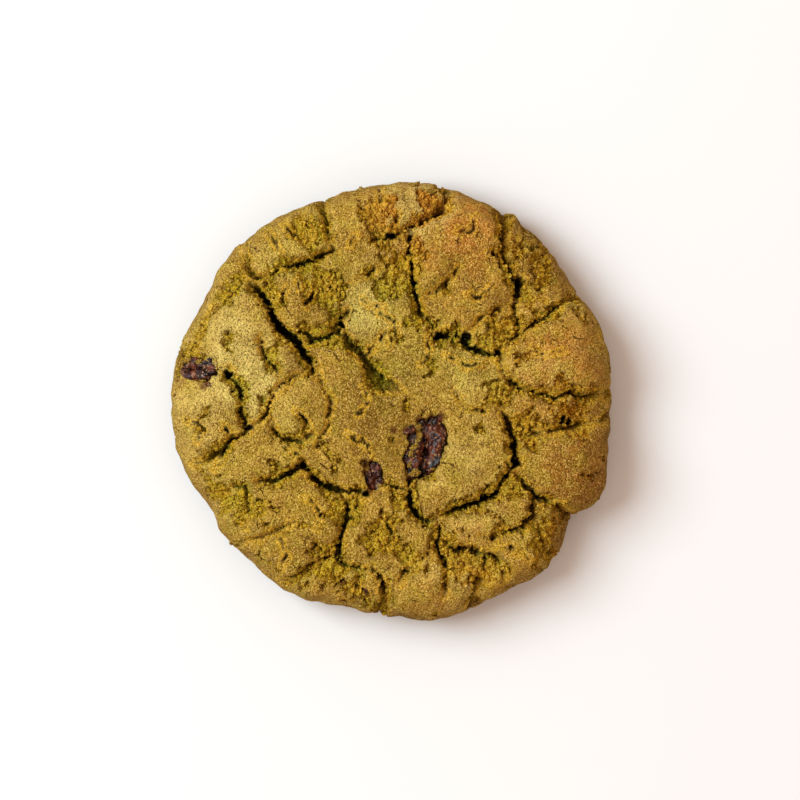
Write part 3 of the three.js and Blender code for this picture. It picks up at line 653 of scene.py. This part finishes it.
def fine_cracks(spacing, width, patchy):
    """A net of cracks on the sheet, too fine to move the surface, in patches some millimetres across; the
    dough is painted dark along them as shade.
    """
    sheet_at = node(tree, "ShaderNodeAttribute", attribute_name="sheet").outputs["Vector"]
    wander = node(tree, "ShaderNodeTexNoise", Scale=1 / (1.4 * MM), Detail=3, Roughness=0.65)
    shifted = node(tree, "ShaderNodeVectorMath", operation="MULTIPLY_ADD")
    shifted.inputs[1].default_value = (2 * MM,) * 3
    patches = node(tree, "ShaderNodeTexNoise", Scale=1 / (patchy * MM), Detail=2)
    net = node(tree, "ShaderNodeTexVoronoi", feature="DISTANCE_TO_EDGE", voronoi_dimensions="2D")
    net.inputs["Scale"].default_value = 1 / (spacing * MM)
    for start, end in (
        (sheet_at, wander.inputs["Vector"]), (wander.outputs["Color"], shifted.inputs[0]),
        (sheet_at, shifted.inputs[2]), (shifted.outputs[0], net.inputs["Vector"]),
        (sheet_at, patches.inputs["Vector"]),
    ):
        tree.links.new(start, end)
    thinner = stretch(tree, patches.outputs[0], 0.68, 0.54, 0, width / spacing)
    gone = node(tree, "ShaderNodeMath", operation="ADD")
    tree.links.new(net.outputs[0], gone.inputs[0])
    tree.links.new(thinner, gone.inputs[1])
    return stretch(tree, gone.outputs[0], 0.4 * width / spacing, width / spacing, 0.9, 0)


# Each colour goes over the ones above it: crust, side, bake, mottling, broken dough, lips, grains, stains,
# cracks and openings. Partly painted light: the darker side, the paler and darker bake and the lighter lips;
# painted shade: the gaps between grains, the fine cracks and the openings.
cracked = fine_cracks(3.4, 0.12, 5)
grains = grains_of(0.24)
greener = stretch(tree, mask_of("green"), -1, 1)
toned = blend_colour(tree, greener, tone(210, 142, 62), tone(190, 176, 76))
torn_open = blend_colour(tree, greener, tone(226, 152, 30), tone(200, 192, 36))
# The side browner and darker than the top: partly its own bake, partly painted shade on faces that turn away
# from the light.
toned = blend_colour(tree, stretch(tree, mask_of("side"), 0, 1, 0, 0.7), toned, tone(142, 106, 60))
# The paler and darker bake, partly real and partly painted light: paler to the left, where the light falls,
# and painted shade on the right and lower side.
toned = blend_colour(tree, stretch(tree, mask_of("pale"), 0, 1, 0, 0.8), toned, tone(246, 222, 134))
toned = blend_colour(tree, stretch(tree, mask_of("pale"), 0, -1, 0, 0.5), toned, tone(96, 70, 22))
toned = blend_colour(tree, stretch(tree, speckle(9, 3), 0.42, 0.62, 0, 0.4), toned, tone(140, 104, 34))
toned = blend_colour(tree, stretch(tree, speckle(1.8, 3), 0.5, 0.64, 0, 0.3), toned, tone(176, 132, 84))
toned = blend_colour(tree, stretch(tree, speckle(4, 3), 0.48, 0.62, 0, 0.42), toned, tone(180, 160, 56))
toned = blend_colour(tree, stretch(tree, mask_of("broken"), 0.3, 1, 0, 0.75), toned, torn_open)
# The lips of the tears lighter and more orange: partly their own bake, partly a painted highlight where the
# torn edges catch the light.
toned = blend_colour(tree, stretch(tree, mask_of("lip"), 0.3, 0.9, 0, 0.65), toned, tone(232, 184, 56))
toned = blend_colour(tree, stretch(tree, grains["Shade"], 0, 0.45, 0.7, 0), toned, tone(84, 60, 18))
toned = blend_colour(tree, stretch(tree, grains["Shade"], 0.68, 1, 0, 0.54), toned, tone(252, 220, 132))
# Painted shade in the low gaps between the grains.
toned = blend_colour(tree, stretch(tree, grains["Gap shade"], 0, 1, 0, 0.7), toned, tone(56, 38, 10))
toned = blend_colour(tree, stretch(tree, mask_of("stained"), 0.2, 0.9, 0, 0.8), toned, tone(84, 34, 18))
# The net of fine cracks painted dark: painted shade inside cracks too fine to be cut into the surface.
toned = blend_colour(tree, cracked, toned, tone(84, 56, 12))
# The openings of the tears, cracks and pits painted near-black: painted shade deep inside them.
toned = blend_colour(tree, stretch(tree, mask_of("opening"), -0.1, 0.3), toned, tone(48, 38, 8))
tree.links.new(toned, shader.inputs["Base Color"])
shader.inputs["Roughness"].default_value = 0.95
shader.inputs["Specular IOR Level"].default_value = 0.1
grainy = node(tree, "ShaderNodeBump", Strength=1, Distance=0.32 * MM)
deepened = node(tree, "ShaderNodeMath", operation="MULTIPLY_ADD")
tree.links.new(cracked, deepened.inputs[0])
deepened.inputs[1].default_value = -1.8
tree.links.new(grains["Height"], deepened.inputs[2])
tree.links.new(deepened.outputs[0], grainy.inputs["Height"])
tree.links.new(grainy.outputs[0], shader.inputs["Normal"])
dough_mesh.materials.append(dough_skin)

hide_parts("cookie")
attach(dough, "root")


# ---- Loose crumbs
# Bits of dough, 0.2 to 1.4 mm across, that crumbled off along the torn edges as the crust parted.
# They stick where they fell, thickest on the broken dough between the plates.

CRUMB_INPUTS = {
    "Density": 2.2 / MM**2,  # where the dough is wholly broken up
    "Smallest": 0.35 * MM,
    "Largest": 1.3 * MM,
    "Seed": 4,
    "Material": dough_skin,
}


def crumb_tree():
    """Scatters crumbs over a mesh, densest where its crumbly mask is highest."""
    tree = bpy.data.node_groups.new("crumbs", "GeometryNodeTree")
    for name, kind in (
        ("Geometry", "Geometry"), ("Density", "Float"), ("Smallest", "Float"), ("Largest", "Float"),
        ("Seed", "Int"), ("Material", "Material"),
    ):
        tree.interface.new_socket(name, in_out="INPUT", socket_type="NodeSocket" + kind)
    tree.interface.new_socket("Geometry", in_out="OUTPUT", socket_type="NodeSocketGeometry")
    given, wanted = node(tree, "NodeGroupInput").outputs, node(tree, "NodeGroupOutput")

    def link(start, end):
        tree.links.new(start, end)

    crumbly = node(tree, "GeometryNodeInputNamedAttribute", data_type="FLOAT", Name="crumbly")
    thick = node(tree, "ShaderNodeMath", operation="MULTIPLY")
    link(crumbly.outputs[0], thick.inputs[0])
    link(given["Density"], thick.inputs[1])
    spread = node(tree, "GeometryNodeDistributePointsOnFaces")
    link(given["Geometry"], spread.inputs["Mesh"])
    link(thick.outputs[0], spread.inputs["Density"])
    link(given["Seed"], spread.inputs["Seed"])

    lump = node(tree, "GeometryNodeMeshIcoSphere", Radius=0.5, Subdivisions=1)
    chance = node(tree, "FunctionNodeRandomValue", data_type="FLOAT")
    link(given["Seed"], chance.inputs["Seed"])
    mostly_small = node(tree, "ShaderNodeMath", operation="POWER")
    link(chance.outputs[1], mostly_small.inputs[0])
    mostly_small.inputs[1].default_value = 2.5
    width = node(tree, "ShaderNodeMapRange")
    link(mostly_small.outputs[0], width.inputs["Value"])
    link(given["Smallest"], width.inputs["To Min"])
    link(given["Largest"], width.inputs["To Max"])
    shape = node(tree, "FunctionNodeRandomValue", data_type="FLOAT_VECTOR")
    shape.inputs[0].default_value = (0.6, 0.6, 0.5)
    shape.inputs[1].default_value = (1.1, 1.1, 0.9)
    size = node(tree, "ShaderNodeVectorMath", operation="SCALE")
    link(shape.outputs[0], size.inputs[0])
    link(width.outputs["Result"], size.inputs["Scale"])
    turn = node(tree, "FunctionNodeRandomValue", data_type="FLOAT_VECTOR")
    turn.inputs[1].default_value = (6.28, 6.28, 6.28)
    laid = node(tree, "GeometryNodeInstanceOnPoints")
    link(spread.outputs["Points"], laid.inputs["Points"])
    link(lump.outputs[0], laid.inputs["Instance"])
    link(size.outputs[0], laid.inputs["Scale"])
    link(turn.outputs[0], laid.inputs["Rotation"])
    real = node(tree, "GeometryNodeRealizeInstances")
    link(laid.outputs[0], real.inputs[0])
    painted = node(tree, "GeometryNodeSetMaterial")
    link(real.outputs[0], painted.inputs[0])
    link(given["Material"], painted.inputs["Material"])
    link(painted.outputs[0], wanted.inputs[0])
    return tree


scatter = dough.copy()
scatter.data = dough_mesh.copy()
bpy.context.scene.collection.objects.link(scatter)
spreader = scatter.modifiers.new("crumbs", "NODES")
spreader.node_group = crumb_tree()
for socket in spreader.node_group.interface.items_tree:
    if socket.in_out == "INPUT" and socket.name in CRUMB_INPUTS:
        spreader[socket.identifier] = CRUMB_INPUTS[socket.name]
evaluated = scatter.evaluated_get(bpy.context.evaluated_depsgraph_get())
crumb_mesh = bpy.data.meshes.new_from_object(evaluated)
crumb_mesh.name = "loose_crumbs"
bpy.data.objects.remove(scatter)
crumbs = bpy.data.objects.new("loose_crumbs", crumb_mesh)
bpy.context.scene.collection.objects.link(crumbs)
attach(crumbs, "root")


# ---- Stuck bits
# Bits of dough that stuck on the fruit and at the rim as the crust tore, and bits of the fruit's own skin
# beside it. Each is a knobbly lump that lies on what is under it.

# Where each lies, its length and width in millimetres, and its turn in degrees.
DOUGH_BITS = [
    (5, -5.2, 1.7, 1.2, 70), (5.2, -6.6, 1.9, 1.3, 100), (5, -7.9, 1.6, 1.3, 80), (4.3, -9.1, 1.7, 1.2, 50),
    (3.7, -10.3, 1.3, 1, 70), (3.4, -12.6, 1.3, 0.9, 80), (4.3, -14.2, 1.9, 1.4, 30),
    (7.9, -13.4, 0.9, 0.6, 0), (6.6, -14.9, 0.7, 0.5, 20), (-42, 7.2, 1.8, 1.2, 60), (-40.4, 8, 2, 1.1, 20),
    (-42.6, 4.4, 1.5, 1.1, 0), (-38.4, 7.8, 1.6, 0.9, 0), (-37.8, 3.8, 1.4, 1, 20),
    (-5.2, -13.4, 1.1, 0.9, 40), (-2.6, -16.8, 1, 0.8, 0), (4.2, 42.8, 2.2, 1.6, 10),
    (-42, 9.4, 2.2, 1.4, 70), (34.6, -23.2, 1.8, 1.4, 50), (7.6, 41.4, 1.6, 1.2, 0),
    (-6, -40.4, 1.6, 1.2, 30),
]
FRUIT_BITS = [
    (3, -5.8, 2.6, 1.5, 10), (5.4, -3.8, 1.9, 1.5, 60), (9.5, -3.2, 1.2, 1, 0), (-5.3, -12.2, 1.3, 0.8, 60),
    (-10, -35.8, 0.9, 0.6, 0), (-5.2, -37.3, 0.8, 0.6, 30), (-36, 8.2, 1.4, 1, 30), (-36.4, 3.2, 1.3, 0.9, 0),
]


def sight_of(mesh):
    return BVHTree.FromPolygons([v.co for v in mesh.vertices], [tuple(p.vertices) for p in mesh.polygons])


seen_from_above = [sight_of(mesh) for mesh in (dough_mesh, *fruit_meshes)]


def stuck_bits(name, rows, skin, sunk):
    """Lumps laid on the surfaces below them, and pressed in by sunk times their width."""
    lumps = bmesh.new()
    for x, y, length, width, turned in rows:
        hits = [sight.ray_cast(Vector((x, y, 40)) * MM, Vector((0, 0, -1)))[0] for sight in seen_from_above]
        ground = max(hit.z for hit in hits if hit)
        lump = bmesh.ops.create_icosphere(lumps, subdivisions=4, radius=1)["verts"]
        for vert in lump:
            knobs = 0.6 * noise.noise(vert.co * 1.6 + Vector((x, y, 0)))
            knobs += 0.35 * noise.noise(vert.co * 4 + Vector((y, x, 0)))
            vert.co *= 1 + knobs
        size = Matrix.Diagonal((length / 2 * MM, width / 2 * MM, width * 0.4 * MM, 1))
        at = Matrix.Translation((x * MM, y * MM, ground - width * (sunk - 0.4) * MM))
        placing = at @ Matrix.Rotation(math.radians(turned), 4, "Z") @ size
        bmesh.ops.transform(lumps, matrix=placing, verts=lump)
    mesh = bpy.data.meshes.new(name)
    lumps.to_mesh(mesh)
    lumps.free()
    mesh.materials.append(skin)
    bits = bpy.data.objects.new(name, mesh)
    bpy.context.scene.collection.objects.link(bits)
    return bits


dough_bits = stuck_bits("stuck_dough_bits", DOUGH_BITS, dough_skin, 0.35)
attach(dough_bits, "root")
fruit_bits = stuck_bits("stuck_fruit_bits", FRUIT_BITS, fruit_skin, 0.5)
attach(fruit_bits, "root")


# ---- Floor, light and camera
# A plain pale surface, a large soft light from the left and a bright room.

floor_mesh = bpy.data.meshes.new("floor")
floor_mesh.from_pydata([(-3, -3, 0), (3, -3, 0), (3, 3, 0), (-3, 3, 0)], [], [(0, 1, 2, 3)])
floor = bpy.data.objects.new("floor", floor_mesh)
bpy.context.scene.collection.objects.link(floor)
paper = bpy.data.materials.new("white_paper")
paper.use_nodes = True
paper.node_tree.nodes["Principled BSDF"].inputs["Base Color"].default_value = (0.665, 0.66, 0.665, 1)
paper.node_tree.nodes["Principled BSDF"].inputs["Roughness"].default_value = 0.9
floor_mesh.materials.append(paper)

key = bpy.data.lights.new("key", "AREA")
key.shape = "DISK"
key.size = 0.76
key.energy = 12
key.color = (0.84, 1, 1.08)
key_light = bpy.data.objects.new("key", key)
key_light.location = (-0.68, 0.22, 0.84)
key_light.rotation_euler = (-key_light.location).to_track_quat("-Z", "Y").to_euler()
bpy.context.scene.collection.objects.link(key_light)

room = bpy.data.worlds.new("room")
room.use_nodes = True
room.node_tree.nodes["Background"].inputs["Color"].default_value = (1, 0.79, 0.66, 1)
room.node_tree.nodes["Background"].inputs["Strength"].default_value = 0.76
bpy.context.scene.world = room
bpy.context.scene.view_settings.view_transform = "Standard"
bpy.context.scene.view_settings.look = "Medium High Contrast"

WIDTH_SHOWN = 160 * MM  # of the level of the waist
lens = bpy.data.cameras.new("camera")
lens.lens = 200
lens.sensor_width = 36
lens.clip_end = 10
camera = bpy.data.objects.new("camera", lens)
camera.location = (1.4 * MM, 0.2 * MM, WAIST * MM + WIDTH_SHOWN * lens.lens / lens.sensor_width)
bpy.context.scene.collection.objects.link(camera)
bpy.context.scene.camera = camera
